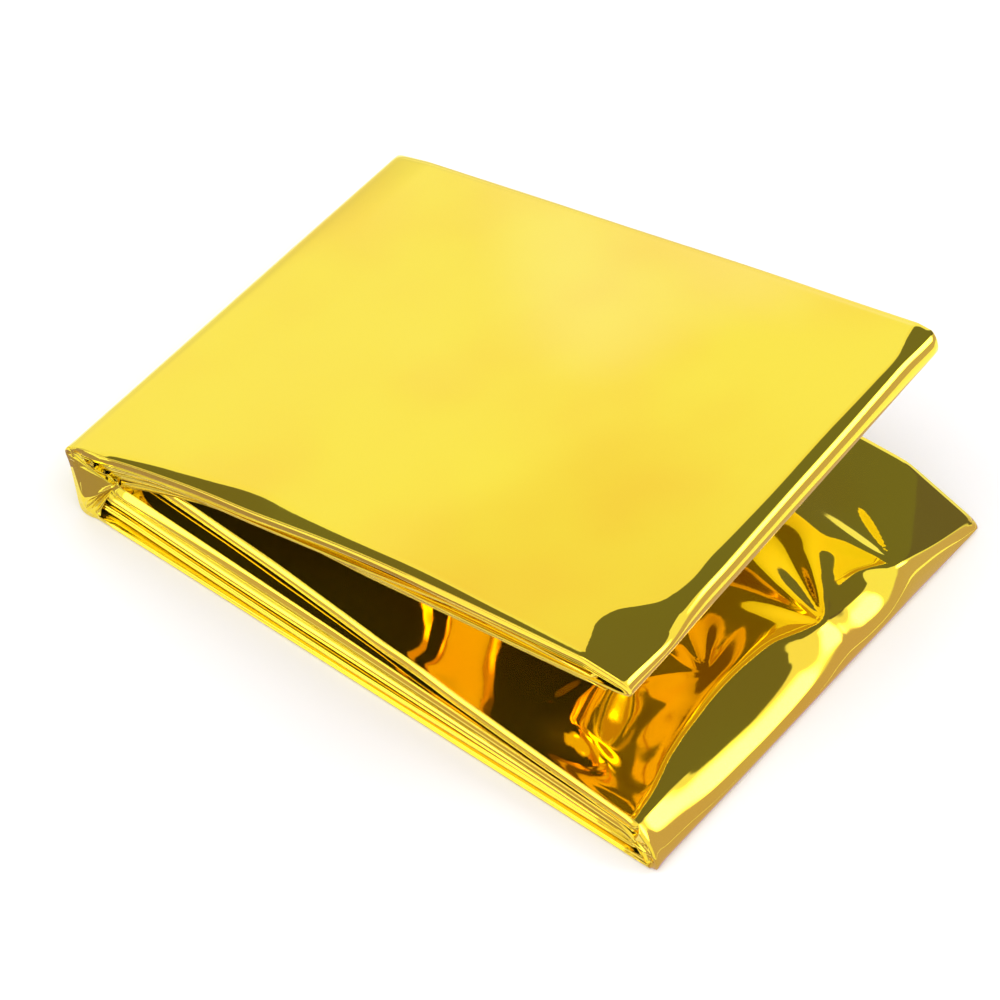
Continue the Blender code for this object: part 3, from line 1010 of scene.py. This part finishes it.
@dataclass(frozen=True)
class Studio:
    """Pale floor, soft surroundings, two glowing sheets of painted floor shade, a lamp and the camera.

    Sizes and places are in metres, and the lens and its sensor in millimetres.
    """

    floor_size: float = 6.0
    floor_shade: float = 0.95
    wall: tuple[float, float, float] = (1.02, 1.02, 1.02)
    horizon: tuple[float, float, float] = (0.61, 0.46, 0.85)
    far_horizon: tuple[float, float, float] = (0.84, 0.84, 0.84)
    # Painted shade: dim glowing sheets on the floor by the rolled end and by the front edge, which stand for
    # the floor's shade there as the film mirrors it
    painted_shade_cards: tuple[Card, ...] = (
        Card("painted_shade_end_card", (0.61, 0.46, 0.85), (0.1420, 0.004), (0.16, 0.14), 0.0),
        Card("painted_shade_front_card", (0.40, 0.30, 0.55), (-0.012, -0.0755), (0.165, 0.046), -2.3),
    )
    card_lift: float = 0.00005
    glows: tuple[Glow, ...] = (
        Glow(bearing(238.0, 36.0), 13.0, (3.4, 3.4, 3.4)),
        Glow(bearing(44.0, 38.5), 10.5, (6.0, 6.0, 6.0), 8.0),
        Glow(bearing(143.0, 43.0), 5.5, (0.97, 0.89, 0.72), 9.0),
        Glow(bearing(143.0, 14.0), 4.0, (0.88, 0.86, 0.80), 8.0),
        Glow(bearing(135.0, 25.0), 4.0, (1.05, 1.08, 1.80), 9.0),
        Glow(bearing(86.0, 33.0), 17.0, (0.13, 0.115, 0.20), 3.0),
        Glow(bearing(102.0, 56.0), 27.0, (0.16, 0.16, 0.16), 1.2),
        Glow(bearing(183.0, 48.0), 14.0, (0.16, 0.16, 0.16), 1.2),
        Glow(bearing(160.0, 68.0), 22.0, (0.16, 0.16, 0.16), 1.2),
    )
    overhead_watts: float = 14.0
    overhead_height: float = 1.6
    overhead_size: float = 2.4
    focal_length: float = 174.82
    sensor_width: float = 36.0
    nearest: float = 0.05
    farthest: float = 30.0
    camera_place: tuple[float, float, float] = (0.35802, -0.46445, 0.6327)
    camera_right: tuple[float, float, float] = (0.7883, 0.6152, 0.0)
    camera_back: tuple[float, float, float] = (0.4203, -0.5385, 0.7303)  # away from the object
    camera_roll: float = 0.87  # degrees

    def plane(self, name: str, size: float, shader_of: Callable[[Graph], Signal]) -> bpy.types.Object:
        """A flat stage piece with a material of its own.

        Args:
            name: name of the piece and its material.
            size: its side, in metres.
            shader_of: adds the material's shader to a graph.

        Returns:
            The piece.
        """
        bpy.ops.object.select_all(action="DESELECT")
        bpy.ops.mesh.primitive_plane_add(size=size)
        plane = bpy.context.object
        plane.name = name
        material = bpy.data.materials.new(name)
        material.use_nodes = True
        graph = Graph(material.node_tree)
        graph.node("ShaderNodeOutputMaterial", {}, {"Surface": shader_of(graph)})
        plane.data.materials.append(material)
        return plane

    def floor(self) -> bpy.types.Object:
        """A plain pale floor."""
        face = {"Base Color": (*(self.floor_shade,) * 3, 1.0), "Roughness": 0.9, "Specular IOR Level": 0.0}
        return self.plane("floor", self.floor_size, lambda graph: graph.node(
            "ShaderNodeBsdfPrincipled", {}, face))

    def card(self, card: Card) -> bpy.types.Object:
        """A card that only the film mirrors, a painted reflection of the floor's shade near the film.

        Args:
            card: what it is like.

        Returns:
            Its piece.
        """
        piece = self.plane(card.name, 1.0, lambda graph: graph.node(
            "ShaderNodeEmission", {}, {"Color": (*card.colour, 1.0), "Strength": 1.0}))
        piece.scale = (*card.size, 1.0)
        piece.rotation_euler.z = math.radians(card.turn)
        piece.location = (*card.place, self.card_lift)
        # Hidden from the camera, from diffuse light and from shadows, so only the film's reflections show
        # this painted shade
        piece.visible_camera = piece.visible_diffuse = piece.visible_shadow = False
        return piece

    def surroundings(self) -> None:
        """White surroundings with a dim horizon, two bright lamps and soft dim patches."""
        world = bpy.data.worlds.new("studio")
        bpy.context.scene.world = world
        world.use_nodes = True
        graph = Graph(world.node_tree)
        direction = graph.node("ShaderNodeTexCoord", output="Generated")
        height = graph.facing(direction, (0.0, 0.0, 1.0))
        beyond = graph.step(graph.facing(direction, bearing(34.0, 0.0)), 0.5, 0.85)
        beside = graph.step(graph.facing(direction, bearing(240.0, 0.0)), 0.6, 0.9)
        low = graph.mix(beyond + beside, (*self.far_horizon, 1.0), (*self.horizon, 1.0))
        share = graph.step(height - beyond * 0.34 - beside * 0.24, 0.08, 0.16)
        base = graph.mix(share, low, (*self.wall, 1.0))
        for glow in self.glows:
            near = math.cos(math.radians(glow.half_angle - glow.softness / 2))
            far = math.cos(math.radians(glow.half_angle + glow.softness / 2))
            inside = graph.step(graph.facing(direction, glow.toward), far, near)
            base = graph.mix(inside, base, (*glow.colour, 1.0))
        shader = graph.node("ShaderNodeBackground", {}, {"Color": base, "Strength": 1.0})
        graph.node("ShaderNodeOutputWorld", {}, {"Surface": shader})

    def lamp(self) -> bpy.types.Object:
        """A wide soft lamp overhead for the floor.

        Returns:
            The lamp.
        """
        bpy.ops.object.light_add(type="AREA", location=(0.0, 0.0, self.overhead_height))
        lamp = bpy.context.object
        lamp.name = "overhead"
        lamp.data.shape = "DISK"
        lamp.data.size = self.overhead_size
        lamp.data.energy = self.overhead_watts
        lamp.visible_glossy = lamp.visible_camera = False
        return lamp

    def camera(self) -> bpy.types.Object:
        """The camera, above and to the right of the front.

        Returns:
            The camera.
        """
        right = Vector(self.camera_right)
        back = Vector(self.camera_back).normalized()
        up = back.cross(right).normalized()
        roll = math.radians(self.camera_roll)
        side = right * math.cos(roll) - up * math.sin(roll)
        top = right * math.sin(roll) + up * math.cos(roll)
        turn = Matrix((side, top, back)).transposed().to_4x4()
        bpy.ops.object.camera_add()
        camera = bpy.context.object
        camera.name = "camera"
        camera.matrix_world = Matrix.Translation(self.camera_place) @ turn
        camera.data.lens = self.focal_length
        camera.data.sensor_width = self.sensor_width
        camera.data.sensor_fit = "HORIZONTAL"
        camera.data.clip_start = self.nearest
        camera.data.clip_end = self.farthest
        bpy.context.scene.camera = camera
        return camera


def main() -> None:
    """Build the blanket and its studio."""
    logging.basicConfig(level=logging.INFO, format="%(name)s: %(message)s")
    scene = bpy.context.scene
    scene.view_settings.view_transform = "Standard"
    studio = Studio()
    studio.camera()
    studio.floor()
    for card in studio.painted_shade_cards:
        studio.card(card)
    studio.lamp()
    studio.surroundings()
    blanket = FoilBlanket()
    piece = blanket.build()
    finish = GoldFilm()
    piece.data.materials.append(finish.material())
    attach(piece, "root")
    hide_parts("foil_blanket")
    LOG.info("%s: %d faces", piece.name, len(piece.data.polygons))


if __name__ == "__main__":
    main()
